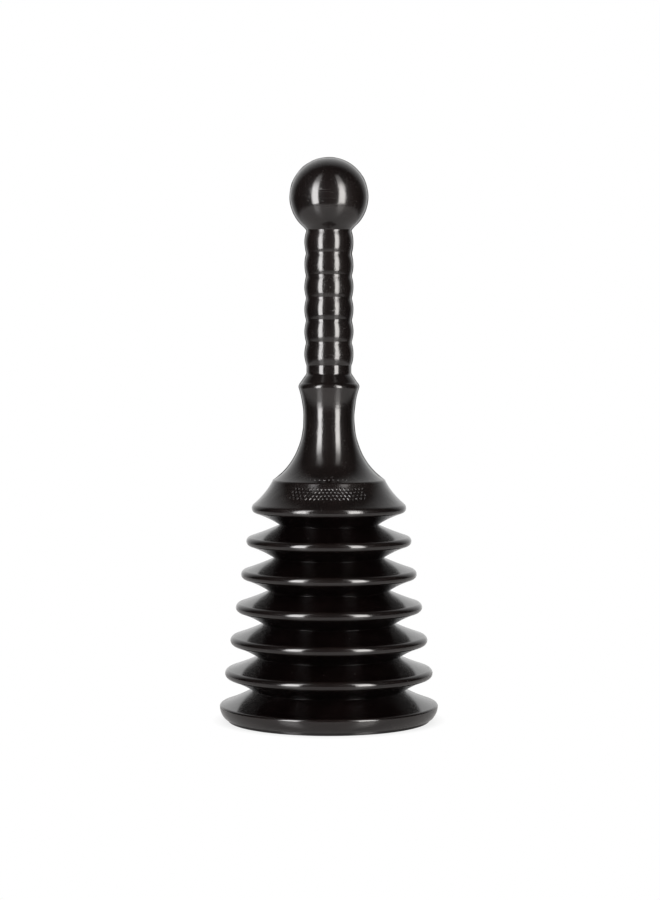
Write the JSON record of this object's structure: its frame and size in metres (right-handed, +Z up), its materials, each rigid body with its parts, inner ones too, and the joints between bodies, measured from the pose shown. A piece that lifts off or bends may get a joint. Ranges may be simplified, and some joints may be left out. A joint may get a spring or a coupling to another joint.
{
  "type": "sink plunger",
  "caption": "Bellows sink plunger with a hollow ribbed handle, a ball-shaped end, a flared bell and a folding pleated cup that ends in a broad sealing lip.",
  "frame": {"origin": "centre of the circle that the foot bead stands on, at the bottom", "axes": "+Z up along the handle towards the ball; -Y is the front, where the raised motif is; +X is to the right seen from the front; the moulding parting line runs at +X and -X"},
  "size_m": [0.1022, 0.1022, 0.2626],
  "materials": {
    "gloss_moulding": "glossy moulded black polyethylene",
    "satin_moulding": "satin moulded black polyethylene"
  },
  "bodies": {
    "lip_base": {"sealing_lip": "gloss_moulding", "foot_bead": "satin_moulding", "bellows_gusset_1": "satin_moulding"},
    "rim_1": {"bellows_rim_1": "gloss_moulding", "bellows_gusset_2": "satin_moulding"},
    "rim_2": {"bellows_rim_2": "gloss_moulding", "bellows_gusset_3": "satin_moulding"},
    "rim_3": {"bellows_rim_3": "gloss_moulding", "bellows_gusset_4": "satin_moulding"},
    "rim_4": {"bellows_rim_4": "gloss_moulding", "bellows_gusset_5": "satin_moulding"},
    "rim_5": {"bellows_rim_5": "gloss_moulding", "bellows_gusset_6": "satin_moulding"},
    "handle": {"bell": "gloss_moulding", "ribbed_grip": "gloss_moulding", "ball_knob": "gloss_moulding"}
  },
  "joints": [
    {"name": "plunge_stroke", "type": "slide", "parent": "lip_base", "child": "handle", "axis": [0, 0, -1], "range_m": [0, 0.036], "stiffness_N_per_m": 1500, "deforming": ["bellows_gusset_1", "bellows_gusset_2", "bellows_gusset_3", "bellows_gusset_4", "bellows_gusset_5", "bellows_gusset_6"]},
    {"name": "rim_1_travel", "type": "slide", "parent": "lip_base", "child": "rim_1", "axis": [0, 0, -1], "range_m": [0, 0.0062]},
    {"name": "rim_2_travel", "type": "slide", "parent": "lip_base", "child": "rim_2", "axis": [0, 0, -1], "range_m": [0, 0.0122]},
    {"name": "rim_3_travel", "type": "slide", "parent": "lip_base", "child": "rim_3", "axis": [0, 0, -1], "range_m": [0, 0.0182]},
    {"name": "rim_4_travel", "type": "slide", "parent": "lip_base", "child": "rim_4", "axis": [0, 0, -1], "range_m": [0, 0.0242]},
    {"name": "rim_5_travel", "type": "slide", "parent": "lip_base", "child": "rim_5", "axis": [0, 0, -1], "range_m": [0, 0.0302]}
  ],
  "couplings": [
    {"joint": "rim_1_travel", "follows": "plunge_stroke", "ratio": 0.16667},
    {"joint": "rim_2_travel", "follows": "plunge_stroke", "ratio": 0.33333},
    {"joint": "rim_3_travel", "follows": "plunge_stroke", "ratio": 0.5},
    {"joint": "rim_4_travel", "follows": "plunge_stroke", "ratio": 0.66667},
    {"joint": "rim_5_travel", "follows": "plunge_stroke", "ratio": 0.83333}
  ]
}
